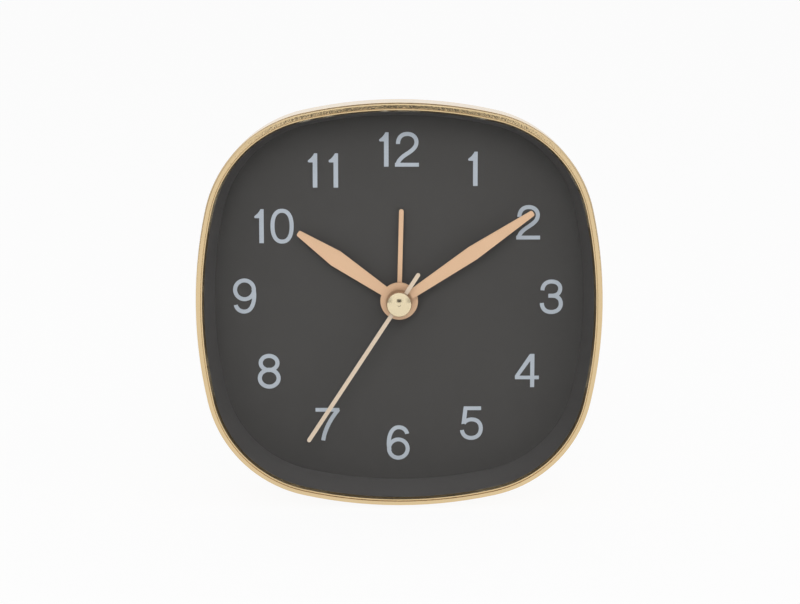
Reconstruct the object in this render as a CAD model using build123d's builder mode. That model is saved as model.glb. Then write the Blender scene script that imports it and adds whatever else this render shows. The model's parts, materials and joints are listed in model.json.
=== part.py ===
"""A small free-standing quartz alarm clock in a rounded-square case.

Millimetres, +Z up, the dial faces -Y, and the origin is the middle of the base pad's underside.
Depths are counted from the front of the bezel towards the back of the clock, and places on the
dial are counted from the hands' centre: u to the right and v up, as the clock is read.
"""
import math
import os

from build123d import *

os.makedirs("parts", exist_ok=True)

# Case outline: four shallow side arcs joined by four corner arcs
case_width = 95.0
side_radius_share = 1.0947
corner_radius_share = 0.3105

# Case shell
case_front_wall = 0.9
case_rear_wall = 2.6
case_rim_depth = 12.5
case_back_inset_share = 0.0632
case_rear_edge_share = 0.0253
case_lip_width_share = 0.0126
case_lip_thickness = 1.5
case_edge_chamfer = 0.05
ground_gap = 0.6

# Bezel: a flat face with a rounded outer edge, a groove, a half-round lip and a bevel to the lens
bezel_depth = 1.9
bezel_step = 0.2
bezel_edge_radius = 0.3
bezel_face_width = 0.95
bezel_face_fall = 0.05
bezel_groove_width = 0.12
bezel_groove_depth = 0.45
bezel_lip_width = 0.4
bezel_lip_fall = 0.05
bezel_bevel_width = 0.36

# Lens, dial ring and dial
lens_recess = 1.1
lens_thickness = 1.5
lens_inset = 1.05
dial_ring_front_inset = 1.75
dial_ring_foot_inset = 3.6
dial_thickness = 1.2
dial_hole_radius = 4.1
dial_post_radius = 2.2
dial_post_height = 1.5
front_fit = 0.1

# Movement plates
main_plate_thickness = 1.6
middle_plate_thickness = 1.0
rear_plate_thickness = 1.2
plate_margin = 1.0
plate_corner_share = 0.1474
plate_foot_corner = 3.0
rear_room = 1.8

# Wheels of the movement: teeth, modules and the stack of layers they turn in
wheel_thickness = 1.0
train_thickness = 0.8
layer_gap = 0.4
rotor_pinion_teeth = 8
step_wheel_teeth = 40
step_pinion_teeth = 8
second_wheel_teeth = 48
second_pinion_teeth = 8
third_wheel_teeth = 60
third_pinion_teeth = 8
centre_wheel_teeth = 64
cannon_pinion_teeth = 12
motion_wheel_teeth = 36
motion_pinion_teeth = 10
hour_wheel_teeth = 40
alarm_pinion_teeth = 18
alarm_wheel_teeth = 36
rotor_module_share = 0.00316
step_module_share = 0.00474
third_distance_share = 0.1288
setting_distance_share = 0.139
wheel_addendum_share = 0.85
wheel_dedendum_share = 1.15
wheel_tooth_shares = (0.60, 0.44, 0.16)
pinion_addendum_share = 0.70
pinion_dedendum_share = 1.20
pinion_tooth_shares = (0.46, 0.42, 0.16)
rim_share = 0.80
hub_share = 0.36
spoke_share = 0.13
spoke_count = 4

# Directions of the arbors from the centre, anticlockwise from the right
third_angle = 90
time_set_angle = 150
alarm_set_angle = 30
step_angle = 190
rotor_angle = 180

# Arbors and the tubes that carry the hands
running_fit = 0.06
loose_fit = 0.3
second_arbor_radius = 0.55
minute_tube_radius = 1.5
hour_tube_radius = 2.5
alarm_tube_radius = 3.5
pivot_radius = 0.45
train_arbor_radius = 0.7
set_arbor_radius = 1.0
set_pivot_radius = 0.7
alarm_pivot_collar = 1.5
tube_end = 0.2

# Hands: clearances between them, lengths as shares of half the case's width, and widths
hand_thickness = 0.35
hand_collet_wall = 0.6
hand_collet_height = 0.5
alarm_hand_clearance = 0.8
hour_hand_clearance = 0.45
minute_hand_clearance = 0.95
second_hand_clearance = 1.05
alarm_hand_angle = 1.4
hour_hand_angle = 304.3
minute_hand_angle = 55.9
second_hand_angle = 213.1
alarm_hand_length_share = 0.457
alarm_hand_width = 1.08
hour_hand_length_share = 0.6084
hour_hand_waist = 1.87
hour_hand_width = 4.0
hour_hand_tip = 1.35
hour_hand_shoulder_share = 0.6263
minute_hand_length_share = 0.8
minute_hand_waist = 1.85
minute_hand_width = 3.5
minute_hand_tip = 1.35
minute_hand_shoulder_share = 0.55
second_hand_length_share = 0.8337
second_hand_tail_share = 0.181
second_hand_width = 0.95
alarm_hub_radius = 4.2
hour_hub_radius = 4.45
minute_hub_radius = 3.2
second_hub_radius = 2.3
cap_radius = 2.9
cap_side = 1.4
cap_crown = 0.6
cap_to_lens = 0.85
hand_tip_share = 0.3

# Stepping motor
magnet_radius = 2.0
magnet_length = 2.4
air_gap = 0.4
coil_fit = 0.1
coil_length_share = 0.1474
coil_radius = 2.6
coil_core_radius = 1.5
coil_flange_radius = 3.0
coil_flange_thickness = 0.8
stator_thickness = 0.8
stator_core_width = 1.8
stator_arm_width = 2.0
stator_pole_half = 3.0
stator_slit = 0.6
stator_post_radius = 0.8

# Circuit board and what it carries
board_width_share = 0.1432
board_height_share = 0.2632
board_left_share = 0.1495
board_bottom_share = -0.0737
board_thickness = 1.0
board_corner = 1.0
board_post_height = 2.4
board_post_radius = 1.0
board_post_inset = 1.6
crystal_radius = 1.0
crystal_length_share = 0.24
crystal_lead_radius = 0.2
crystal_lead_length = 1.2
chip_width = 5.0
chip_height = 1.1
chip_bevel = 0.3
buzzer_radius_share = 0.4265
buzzer_height = 3.6
buzzer_port_radius = 1.1
buzzer_rim = 0.5
alarm_contact_width = 2.0
alarm_contact_thickness = 0.2
alarm_contact_reach = 7.0
crystal_round_share = 0.4
crystal_place_shares = (0.24, 0.24)
chip_place_shares = (0.66, 0.2)
buzzer_place_shares = (0.5, 0.72)

# Pillars and screws that hold the plates to the dial
pillar_place_shares = ((-0.2526, 0.1368), (-0.0842, -0.1137), (0.2632, -0.1095), (0.1958, 0.2168))
pillar_radius = 1.6
movement_screw_radius = 0.8
movement_screw_head_radius = 1.5
movement_screw_head_height = 0.9
screw_fit = 0.05
screw_slot_width = 0.5
screw_slot_depth_share = 0.5

# Rear cover
cover_thickness = 2.2
cover_fit = 0.15
platform_height = 1.6
platform_inset = 2.4
platform_edge = 0.6
boss_radius = 3.0
boss_edge = 4.5
boss_side_angle = 10.8
boss_rib = 1.6
boss_room = 0.3
cover_screw_radius = 1.2
cover_screw_length = 9.0
cover_screw_head_radius = 2.2
cover_screw_head_height = 1.3
cover_screw_floor = 0.8
sound_hole_radius = 0.8
sound_hole_ring_radius = 3.0
sound_hole_count = 6

# Battery, its box and its door
battery_radius_share = 0.07632
battery_length_share = 0.53158
battery_nub_radius = 2.75
battery_nub_length = 1.0
battery_shoulder = 0.6
battery_fit = 0.25
battery_box_wall = 1.2
battery_box_corner = 1.5
plate_to_box = 0.3
contact_room = 1.2
contact_thickness = 0.4
contact_width = 9.0
contact_dimple_radius = 2.2
leaf_thickness = 0.3
leaf_width = 4.5
door_overlap = 0.9
door_thickness = 1.4
door_fit = 0.15
door_travel = 5.0
door_tab_length = 3.6
door_tab_width = 0.8
door_tab_thickness = 0.7
door_tab_shares = (0.2, 0.66)
door_corner = 1.0
door_rib_count = 5
door_rib_length = 14.0
door_rib_width = 0.8
door_rib_pitch = 1.9
door_rib_height = 0.4

# Setting knobs and the alarm switch
knob_radius = 5.0
knob_depth = 3.5
knob_gap = 0.4
knob_ribs = 24
knob_rib_height = 0.45
knob_rib_shares = (0.78, 0.6, 0.46)
knob_edge = 0.6
knob_wall = 1.2
switch_height_share = 0.2526
switch_travel = 4.0
switch_button_width = 4.0
switch_button_height = 4.4
switch_button_rise = 1.0
switch_neck_width = 2.0
switch_neck_height = 2.4
switch_flange_width = 4.6
switch_flange_height = 5.0
switch_flange_thickness = 0.6
switch_fit = 0.2
switch_edge = 0.4

# Plinth and base pad
plinth_width_share = 0.3789
plinth_front = 14.2
plinth_back = 31.0
plinth_corner = 3.0
pad_thickness = 1.0
pad_reveal = 0.4
pad_margin = 1.0
pad_fit = 0.1

# One overrun serves all cuts
overrun = 1.0

# The case, its hands, its movement and its battery keep their shares of the case's width
case_half = case_width / 2
side_radius = case_width * side_radius_share
corner_radius = case_width * corner_radius_share
case_back_inset = case_width * case_back_inset_share
case_rear_edge = case_width * case_rear_edge_share
case_lip_width = case_width * case_lip_width_share
alarm_hand_length = case_half * alarm_hand_length_share
hour_hand_length = case_half * hour_hand_length_share
hour_hand_shoulder = hour_hand_length * hour_hand_shoulder_share
minute_hand_length = case_half * minute_hand_length_share
minute_hand_shoulder = minute_hand_length * minute_hand_shoulder_share
second_hand_length = case_half * second_hand_length_share
second_hand_tail = case_half * second_hand_tail_share
plate_corner = case_width * plate_corner_share
rotor_module = case_width * rotor_module_share
step_module = case_width * step_module_share
third_distance = case_width * third_distance_share
setting_distance = case_width * setting_distance_share
coil_length = case_width * coil_length_share
board_width = case_width * board_width_share
board_height = case_width * board_height_share
board_left = case_width * board_left_share
board_bottom = case_width * board_bottom_share
crystal_length = board_height * crystal_length_share
buzzer_radius = board_width * buzzer_radius_share
pillar_places = [(case_width * right, case_width * up) for right, up in pillar_place_shares]
battery_radius = case_width * battery_radius_share
battery_length = case_width * battery_length_share
switch_height = case_width * switch_height_share
plinth_width = case_width * plinth_width_share

# The outline's centres
side_offset = side_radius - case_half
corner_offset = (math.sqrt(2 * (side_radius - corner_radius) ** 2 - side_offset**2) - side_offset) / 2
side_angle = math.degrees(math.atan2(corner_offset, corner_offset + side_offset))

# Where the clock stands
axis_height = case_half + ground_gap
base_centre_depth = (plinth_front + plinth_back) / 2
front_y = -base_centre_depth

# Heights of the hands above the dial: each hand's collet clears the tube of the hand under it
collet_room = hand_thickness + tube_end + hand_collet_height
alarm_hand_height = hand_collet_height + alarm_hand_clearance
hour_hand_height = alarm_hand_height + collet_room + hour_hand_clearance
minute_hand_height = hour_hand_height + collet_room + minute_hand_clearance
second_hand_height = minute_hand_height + collet_room + second_hand_clearance
dial_ring_depth = second_hand_height + hand_thickness + cap_side + cap_crown + cap_to_lens

# Depths of the pieces, each behind the one before it
lens_front = lens_recess
lens_back = lens_front + lens_thickness
dial_front = lens_back + dial_ring_depth
dial_back = dial_front + dial_thickness
main_plate_front = dial_back + dial_post_height
main_plate_back = main_plate_front + main_plate_thickness
alarm_layer = main_plate_back + layer_gap
hour_layer = alarm_layer + wheel_thickness + layer_gap
motion_layer = hour_layer + wheel_thickness + layer_gap
middle_plate_front = motion_layer + wheel_thickness + layer_gap
middle_plate_back = middle_plate_front + middle_plate_thickness
centre_layer = middle_plate_back + layer_gap
third_layer = centre_layer + train_thickness + layer_gap
second_layer = third_layer + train_thickness + layer_gap
step_layer = second_layer + train_thickness + layer_gap
rear_plate_front = step_layer + train_thickness + layer_gap
rear_plate_back = rear_plate_front + rear_plate_thickness
cover_front = rear_plate_back + rear_room
cover_back = cover_front + cover_thickness
platform_back = cover_back + platform_height
board_back = rear_plate_front - board_post_height
board_depth = board_back - board_thickness
knob_front = platform_back + knob_gap
knob_back = knob_front + knob_depth

# The rounded back of the case: an arc that leaves the rim in a tangent
case_back = cover_back
case_back_run = case_back - case_rim_depth
case_back_radius = (case_back_run**2 + case_back_inset**2) / (2 * case_back_inset)
cover_inset = case_back_inset + case_rear_edge + cover_fit


def polar(distance, angle):
    """Place at a distance from the centre, in a direction counted anticlockwise from the right."""
    return (distance * math.cos(math.radians(angle)), distance * math.sin(math.radians(angle)))


def facing(depth):
    """Sketch plane at a depth, seen as the clock is read: x to the right, y up, towards the reader."""
    return Plane(origin=(0, front_y + depth, axis_height), x_dir=(1, 0, 0), z_dir=(0, -1, 0))


def outline_arcs(inset):
    """The case outline drawn in by inset: arcs that meet in tangents, from the right-hand middle round."""
    for turn in range(0, 360, 90):
        CenterArc(polar(-side_offset, turn), side_radius - inset, turn, side_angle)
        corner = polar(corner_offset * math.sqrt(2), turn + 45)
        CenterArc(corner, corner_radius - inset, turn + side_angle, 90 - 2 * side_angle)
        CenterArc(polar(-side_offset, turn + 90), side_radius - inset, turn + 90 - side_angle, side_angle)


def outline_slab(inset, depth, thickness, mode=Mode.ADD):
    """A plate of the case outline, from a depth towards the back."""
    with BuildSketch(facing(depth)) as profile:
        with BuildLine():
            outline_arcs(inset)
        make_face()
    extrude(profile.sketch, amount=-thickness, mode=mode)


def section(inset, depth):
    """Point of a section through the case's right-hand middle."""
    return (case_half - inset, front_y + depth)


section_plane = Plane(origin=(0, 0, axis_height), x_dir=(1, 0, 0), z_dir=(0, 0, 1))


def disc(start, end, radius, place=(0, 0), mode=Mode.ADD):
    """A round bar along the depth, from start to end."""
    with BuildSketch(facing(start)) as profile:
        with Locations(place):
            Circle(radius)
    extrude(profile.sketch, amount=start - end, mode=mode)


def block(start, end, width, height, place=(0, 0), mode=Mode.ADD):
    """A rectangular bar along the depth, from start to end."""
    with BuildSketch(facing(start)) as profile:
        with Locations(place):
            Rectangle(width, height)
    extrude(profile.sketch, amount=start - end, mode=mode)


def tooth_points(teeth, radii, shares, phase):
    """Corners of a toothed outline: each tooth rises and falls over the radii, as wide as its shares."""
    pitch = 360 / teeth
    points = []
    for tooth in range(teeth):
        middle = phase + tooth * pitch
        rise = [polar(radius, middle - share * pitch / 2) for radius, share in zip(radii, shares)]
        fall = [polar(radius, middle + share * pitch / 2) for radius, share in zip(radii, shares)]
        points += rise + fall[::-1]
    return points


def toothed_bar(start, end, points, place=(0, 0)):
    """A bar with a toothed outline, from start to end."""
    with BuildSketch(facing(start)) as profile:
        with BuildLine():
            Polyline(*[(place[0] + u, place[1] + v) for u, v in points], close=True)
        make_face()
    extrude(profile.sketch, amount=start - end)


def wheel_radii(teeth, module):
    """Root, pitch and tip of a wheel."""
    pitch = teeth * module / 2
    return (pitch - wheel_dedendum_share * module, pitch, pitch + wheel_addendum_share * module)


def pinion_radii(teeth, module):
    """Root, pitch and tip of a pinion."""
    pitch = teeth * module / 2
    return (pitch - pinion_dedendum_share * module, pitch, pitch + pinion_addendum_share * module)


def wheel(start, thickness, teeth, module, phase, place=(0, 0)):
    """A toothed wheel crossed out to four spokes, from start towards the back."""
    radii = wheel_radii(teeth, module)
    toothed_bar(start, start + thickness, tooth_points(teeth, radii, wheel_tooth_shares, phase), place)
    root = radii[0]
    with BuildSketch(facing(start)) as profile:
        with Locations(place):
            Circle(root * rim_share)
            Circle(root * hub_share, mode=Mode.SUBTRACT)
        for spoke in range(spoke_count // 2):
            with Locations(Location((place[0], place[1], 0), (0, 0, phase + spoke * 360 / spoke_count))):
                Rectangle(2 * root, 2 * root * spoke_share, mode=Mode.SUBTRACT)
    extrude(profile.sketch, amount=-thickness, mode=Mode.SUBTRACT)


def pinion(start, end, teeth, module, phase, place=(0, 0)):
    """A pinion cut along its length."""
    points = tooth_points(teeth, pinion_radii(teeth, module), pinion_tooth_shares, phase)
    toothed_bar(start, end, points, place)


def mesh_phase(teeth, other_teeth, other_phase, bearing):
    """Phase that sets a wheel's gaps to the teeth of its neighbour, which lies behind the bearing."""
    lead = other_phase - bearing
    return bearing + 180 + 180 / teeth - lead * other_teeth / teeth


# Modules that let coaxial wheels share their centre distances
third_module = 2 * third_distance / (second_pinion_teeth + third_wheel_teeth)
centre_module = 2 * third_distance / (third_pinion_teeth + centre_wheel_teeth)
motion_module = 2 * setting_distance / (cannon_pinion_teeth + motion_wheel_teeth)
hour_module = 2 * setting_distance / (motion_pinion_teeth + hour_wheel_teeth)
alarm_module = 2 * setting_distance / (alarm_pinion_teeth + alarm_wheel_teeth)
step_distance = step_module * (step_pinion_teeth + second_wheel_teeth) / 2
rotor_distance = rotor_module * (rotor_pinion_teeth + step_wheel_teeth) / 2

# Places of the arbors
third_place = polar(third_distance, third_angle)
time_set_place = polar(setting_distance, time_set_angle)
alarm_set_place = polar(setting_distance, alarm_set_angle)
step_place = polar(step_distance, step_angle)
rotor_reach = polar(rotor_distance, rotor_angle)
rotor_place = (step_place[0] + rotor_reach[0], step_place[1] + rotor_reach[1])

# Phases that put every pair of wheels in mesh
step_wheel_phase = mesh_phase(step_wheel_teeth, rotor_pinion_teeth, 0, rotor_angle + 180)
second_wheel_phase = mesh_phase(second_wheel_teeth, step_pinion_teeth, 0, step_angle + 180)
third_wheel_phase = mesh_phase(third_wheel_teeth, second_pinion_teeth, 0, third_angle)
centre_wheel_phase = mesh_phase(centre_wheel_teeth, third_pinion_teeth, 0, third_angle + 180)
motion_wheel_phase = mesh_phase(motion_wheel_teeth, cannon_pinion_teeth, 0, time_set_angle)
hour_wheel_phase = mesh_phase(hour_wheel_teeth, motion_pinion_teeth, 0, time_set_angle + 180)
alarm_wheel_phase = mesh_phase(alarm_wheel_teeth, alarm_pinion_teeth, 0, alarm_set_angle + 180)

# Outline of the movement plates
coil_place = rotor_place[0] - stator_pole_half - coil_flange_radius - coil_fit
plate_left = coil_place - coil_flange_radius - plate_margin
plate_right = board_left + board_width + plate_margin
plate_top = third_distance + wheel_radii(third_wheel_teeth, third_module)[2] + plate_margin
plate_bottom = min(v for u, v in pillar_places) - pillar_radius - plate_margin

# The battery lies across the clock under the movement
battery_v = plate_bottom - plate_to_box - battery_box_wall - battery_fit - battery_radius
battery_depth = cover_back + door_fit - battery_fit - battery_radius
box_half_width = battery_length / 2 + contact_room
box_half_height = battery_radius + battery_fit
box_front = battery_depth - battery_radius - battery_fit
door_half_width = box_half_width + door_overlap
door_top = battery_v + box_half_height + door_overlap
door_bottom = battery_v - box_half_height - door_overlap
door_front = cover_back + door_fit

# Screw bosses of the case, each as the centre and radius of its outline arc and a direction from there
boss_arcs = (
    ((corner_offset, corner_offset), corner_radius, 45),
    ((-corner_offset, corner_offset), corner_radius, 135),
    ((side_offset, 0), side_radius, 180 + boss_side_angle),
    ((-side_offset, 0), side_radius, -boss_side_angle),
)


def along_arc(centre, reach, angle):
    """Place at a reach from an outline arc's centre."""
    step = polar(reach, angle)
    return (centre[0] + step[0], centre[1] + step[1])


boss_places = [
    along_arc(centre, radius - cover_inset - boss_edge, angle) for centre, radius, angle in boss_arcs
]
boss_front = dial_back + boss_room


def back_inset(depth, offset=0):
    """Inset of the case's rounded back at a depth, or of a surface that lies inside it by offset."""
    run = depth - case_rim_depth
    return case_back_radius - math.sqrt((case_back_radius - offset) ** 2 - run**2)


def back_arc(start, end, offset=0):
    """Arc of the rounded back between two depths, on the section plane."""
    depths = (start, (start + end) / 2, end)
    ThreePointArc(*[section(back_inset(depth, offset), depth) for depth in depths])


def case_ring():
    """Sweeps the sketched section once round the case outline."""
    with BuildLine(facing(0)) as path:
        outline_arcs(0)
    sweep(path=path.wires()[0])


# Case shell: a plated moulding with a plinth under it and four screw bosses inside
shell_inner_inset = case_front_wall
lip_front = cover_front - case_lip_thickness
seat_inset = cover_inset - cover_fit
plinth_half = plinth_width / 2
plinth_sagitta = side_radius - math.sqrt(side_radius**2 - plinth_half**2)
plinth_sink = (plinth_sagitta + case_rear_wall) / 2
plinth_middle = (plinth_front + plinth_back) / 2


def plinth_point(depth):
    """Point of the plinth's top, part way into the wall of the case, on the side view."""
    return (front_y + depth, ground_gap + back_inset(depth) + plinth_sink)


with BuildPart() as case_shell:
    with BuildSketch(Plane.YZ):
        with BuildLine():
            Polyline(
                plinth_point(plinth_front),
                (front_y + plinth_front, pad_reveal),
                (front_y + plinth_back, pad_reveal),
                plinth_point(plinth_back),
            )
            ThreePointArc(*[plinth_point(d) for d in (plinth_back, plinth_middle, plinth_front)])
        make_face()
    extrude(amount=plinth_half, both=True)
    fillet(case_shell.edges().filter_by(Axis.Z), radius=plinth_corner)
    with BuildSketch(section_plane):
        with BuildLine():
            Polyline(
                section(shell_inner_inset, dial_back),
                section(shell_inner_inset, bezel_depth),
                section(case_edge_chamfer, bezel_depth),
                section(0, bezel_depth + case_edge_chamfer),
                section(0, case_rim_depth),
            )
            back_arc(case_rim_depth, case_back)
            Polyline(
                section(case_back_inset, case_back),
                section(seat_inset, case_back),
                section(seat_inset, cover_front),
                section(seat_inset + case_lip_width, cover_front),
                section(seat_inset + case_lip_width, lip_front),
                section(back_inset(lip_front, case_rear_wall), lip_front),
            )
            back_arc(lip_front, dial_back, case_rear_wall)
            Line(
                section(back_inset(dial_back, case_rear_wall), dial_back),
                section(shell_inner_inset, dial_back),
            )
        make_face()
    case_ring()
    for centre, radius, angle in boss_arcs:
        reach = radius - cover_inset - boss_edge
        wall_reach = radius - back_inset(lip_front) - case_rear_wall / 2
        disc(boss_front, cover_front, boss_radius, along_arc(centre, reach, angle))
        with BuildSketch(facing(boss_front)):
            middle = along_arc(centre, (reach + wall_reach) / 2, angle)
            with Locations(Location((*middle, 0), (0, 0, angle))):
                Rectangle(wall_reach - reach, boss_rib)
        extrude(amount=boss_front - lip_front)
    for place in boss_places:
        disc(boss_front, cover_front, cover_screw_radius + screw_fit, place, Mode.SUBTRACT)
    with BuildSketch(Plane.XY):
        Rectangle(plinth_width - 2 * pad_margin, plinth_back - plinth_front - 2 * pad_margin)
        fillet(vertices(), radius=plinth_corner - pad_margin)
    extrude(amount=pad_thickness, mode=Mode.SUBTRACT)
case_shell.part.label = "case_shell"
export_step(case_shell.part, "parts/case_shell.step")

# Base pad: a rubber foot let into the plinth
with BuildPart() as base_pad:
    with BuildSketch(Plane.XY):
        pad_inset = pad_margin + pad_fit
        Rectangle(plinth_width - 2 * pad_inset, plinth_back - plinth_front - 2 * pad_inset)
        fillet(vertices(), radius=plinth_corner - pad_inset)
    extrude(amount=pad_thickness)
base_pad.part.label = "base_pad"
export_step(base_pad.part, "parts/base_pad.step")

# Bezel: face, groove, lip and bevel in front, a skirt round the lens behind
edge_side = bezel_face_fall + bezel_edge_radius
edge_inset = bezel_step + bezel_edge_radius
edge_middle = bezel_edge_radius * math.cos(math.radians(45))
face_end = bezel_step + bezel_face_width
lip_start = face_end + bezel_groove_width
lip_end = lip_start + bezel_lip_width
lip_side = bezel_lip_fall + bezel_lip_width / 2
with BuildPart() as bezel:
    with BuildSketch(section_plane):
        with BuildLine():
            Line(section(bezel_step, bezel_depth), section(bezel_step, edge_side))
            ThreePointArc(
                section(bezel_step, edge_side),
                section(edge_inset - edge_middle, edge_side - edge_middle),
                section(edge_inset, bezel_face_fall),
            )
            Polyline(
                section(edge_inset, bezel_face_fall),
                section(face_end, 0),
                section(face_end, bezel_groove_depth),
                section(lip_start, bezel_groove_depth),
                section(lip_start, lip_side),
            )
            ThreePointArc(
                section(lip_start, lip_side),
                section((lip_start + lip_end) / 2, bezel_lip_fall),
                section(lip_end, lip_side),
            )
            Polyline(
                section(lip_end, lip_side),
                section(lip_end + bezel_bevel_width, lens_front),
                section(lens_inset - front_fit, lens_front),
                section(lens_inset - front_fit, bezel_depth),
                section(bezel_step, bezel_depth),
            )
        make_face()
    case_ring()
bezel.part.label = "bezel"
export_step(bezel.part, "parts/bezel.step")

# Lens: a flat pane behind the bezel's lip
with BuildPart() as lens:
    outline_slab(lens_inset, lens_front, lens_thickness)
lens.part.label = "lens"
export_step(lens.part, "parts/lens.step")

# Dial ring: the deep tapered wall between the lens and the dial
with BuildPart() as dial_ring:
    with BuildSketch(section_plane):
        with BuildLine():
            Polyline(
                section(shell_inner_inset + front_fit, lens_back),
                section(shell_inner_inset + front_fit, dial_front),
                section(dial_ring_foot_inset, dial_front),
                section(dial_ring_front_inset, lens_back),
                close=True,
            )
        make_face()
    case_ring()
dial_ring.part.label = "dial_ring"
export_step(dial_ring.part, "parts/dial_ring.step")

# Dial: a moulded plate with four posts that take the movement's screws
with BuildPart() as dial:
    outline_slab(shell_inner_inset + front_fit, dial_front, dial_thickness)
    for place in pillar_places:
        disc(dial_back, main_plate_front, dial_post_radius, place)
    for place in pillar_places:
        disc(dial_back, main_plate_front, movement_screw_radius + screw_fit, place, Mode.SUBTRACT)
    disc(dial_front, dial_back, dial_hole_radius, mode=Mode.SUBTRACT)
dial.part.label = "dial"
export_step(dial.part, "parts/dial.step")


def plate(start, end):
    """A movement plate with its rounded shoulders and the four screw holes."""
    with BuildSketch(facing(start)) as profile:
        with BuildLine():
            Polyline(
                (plate_left, plate_bottom),
                (plate_right, plate_bottom),
                (plate_right, plate_top),
                (plate_left, plate_top),
                close=True,
            )
        make_face()
        fillet(vertices().group_by(Axis.Y)[-1], radius=plate_corner)
        fillet(vertices().group_by(Axis.Y)[0], radius=plate_foot_corner)
        with Locations(*pillar_places):
            Circle(movement_screw_radius + screw_fit, mode=Mode.SUBTRACT)
    extrude(profile.sketch, amount=start - end)


# Main plate: carries the motion works behind the dial
with BuildPart() as main_plate:
    plate(main_plate_front, main_plate_back)
    disc(main_plate_front, main_plate_back, alarm_tube_radius + running_fit, mode=Mode.SUBTRACT)
    for place in (time_set_place, alarm_set_place):
        disc(main_plate_front, main_plate_back, set_pivot_radius + running_fit, place, Mode.SUBTRACT)
main_plate.part.label = "main_plate"
export_step(main_plate.part, "parts/main_plate.step")

# Middle plate: parts the motion works from the going train, with windows for the coil and the board
coil_window = coil_flange_radius + loose_fit
coil_half = coil_length / 2 + stator_arm_width + loose_fit
board_top = board_bottom + board_height
with BuildPart() as middle_plate:
    plate(middle_plate_front, middle_plate_back)
    disc(middle_plate_front, middle_plate_back, minute_tube_radius + running_fit, mode=Mode.SUBTRACT)
    for place in (third_place, step_place, rotor_place):
        disc(middle_plate_front, middle_plate_back, pivot_radius + running_fit, place, Mode.SUBTRACT)
    for place in (time_set_place, alarm_set_place):
        disc(middle_plate_front, middle_plate_back, set_arbor_radius + loose_fit, place, Mode.SUBTRACT)
    block(
        middle_plate_front, middle_plate_back,
        2 * (coil_window + plate_margin + overrun), 2 * coil_half,
        (coil_place - plate_margin - overrun, rotor_place[1]), Mode.SUBTRACT,
    )
    block(
        middle_plate_front, middle_plate_back,
        board_width + 2 * (plate_margin + overrun), board_height,
        (board_left + board_width / 2 + plate_margin + overrun, board_bottom + board_height / 2),
        Mode.SUBTRACT,
    )
middle_plate.part.label = "middle_plate"
export_step(middle_plate.part, "parts/middle_plate.step")

# Rear plate: bears the back of the train, the motor and the circuit board
stator_front = third_layer
stator_back = stator_front + stator_thickness
stator_half = coil_length / 2 + stator_arm_width
stator_left = coil_place - stator_core_width / 2
stator_right = rotor_place[0] + stator_pole_half
stator_post_u = stator_right - stator_arm_width / 2
stator_post_places = [
    (stator_post_u, rotor_place[1] + side * (stator_half - stator_arm_width / 2)) for side in (-1, 1)
]
board_post_places = [
    (board_left + board_width - board_post_inset, board_bottom + board_post_inset),
    (board_left + board_width - board_post_inset, board_top - board_post_inset),
    (board_left + board_post_inset, board_bottom + board_post_inset),
]
with BuildPart() as rear_plate:
    plate(rear_plate_front, rear_plate_back)
    for place in ((0, 0), third_place, step_place, rotor_place):
        disc(rear_plate_front, rear_plate_back, pivot_radius + running_fit, place, Mode.SUBTRACT)
    for place in (time_set_place, alarm_set_place):
        disc(rear_plate_front, rear_plate_back, set_arbor_radius + running_fit, place, Mode.SUBTRACT)
    for place in stator_post_places:
        disc(stator_back, rear_plate_front, stator_post_radius, place)
    for place in board_post_places:
        disc(board_back, rear_plate_front, board_post_radius, place)
rear_plate.part.label = "rear_plate"
export_step(rear_plate.part, "parts/rear_plate.step")

# Pillars: spacers between the plates, front set and rear set
for name, start, end in (
    ("front_pillars", main_plate_back, middle_plate_front),
    ("rear_pillars", middle_plate_back, rear_plate_front),
):
    with BuildPart() as pillars:
        with BuildSketch(facing(start)):
            with Locations(*pillar_places):
                Circle(pillar_radius)
                Circle(movement_screw_radius + screw_fit, mode=Mode.SUBTRACT)
        extrude(amount=start - end)
    pillars.part.label = name
    export_step(pillars.part, f"parts/{name}.step")

# Movement screws: long slotted screws from the rear plate into the dial's posts
screw_slot_depth = movement_screw_head_height * screw_slot_depth_share
head_back = rear_plate_back + movement_screw_head_height
with BuildPart() as movement_screws:
    for place in pillar_places:
        disc(dial_back, rear_plate_back, movement_screw_radius, place)
        disc(rear_plate_back, head_back, movement_screw_head_radius, place)
        block(
            head_back - screw_slot_depth, head_back,
            2 * movement_screw_head_radius, screw_slot_width, place, Mode.SUBTRACT,
        )
movement_screws.part.label = "movement_screws"
export_step(movement_screws.part, "parts/movement_screws.step")

# Rotor: a magnet and the first pinion on one staff
stator_middle = (stator_front + stator_back) / 2
with BuildPart() as rotor:
    pinion(
        stator_middle, step_layer + train_thickness,
        rotor_pinion_teeth, rotor_module, 0, rotor_place,
    )
    disc(stator_middle - magnet_length / 2, stator_middle + magnet_length / 2, magnet_radius, rotor_place)
    disc(middle_plate_front, rear_plate_back, pivot_radius, rotor_place)
rotor.part.label = "rotor"
export_step(rotor.part, "parts/rotor.step")

# Step wheel: driven by the rotor, drives the second wheel
with BuildPart() as step_wheel:
    wheel(step_layer, train_thickness, step_wheel_teeth, rotor_module, step_wheel_phase, step_place)
    pinion(second_layer, step_layer, step_pinion_teeth, step_module, 0, step_place)
    disc(centre_layer, second_layer, train_arbor_radius, step_place)
    disc(middle_plate_front, rear_plate_back, pivot_radius, step_place)
step_wheel.part.label = "step_wheel"
export_step(step_wheel.part, "parts/step_wheel.step")

# Second wheel: on the long arbor that runs through the hands' tubes
second_arbor_front = dial_front - second_hand_height - hand_thickness
with BuildPart() as second_wheel:
    wheel(second_layer, train_thickness, second_wheel_teeth, step_module, second_wheel_phase)
    pinion(third_layer, second_layer, second_pinion_teeth, third_module, 0)
    disc(second_arbor_front, third_layer, second_arbor_radius)
    disc(second_layer, rear_plate_back, pivot_radius)
second_wheel.part.label = "second_wheel"
export_step(second_wheel.part, "parts/second_wheel.step")

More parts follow.
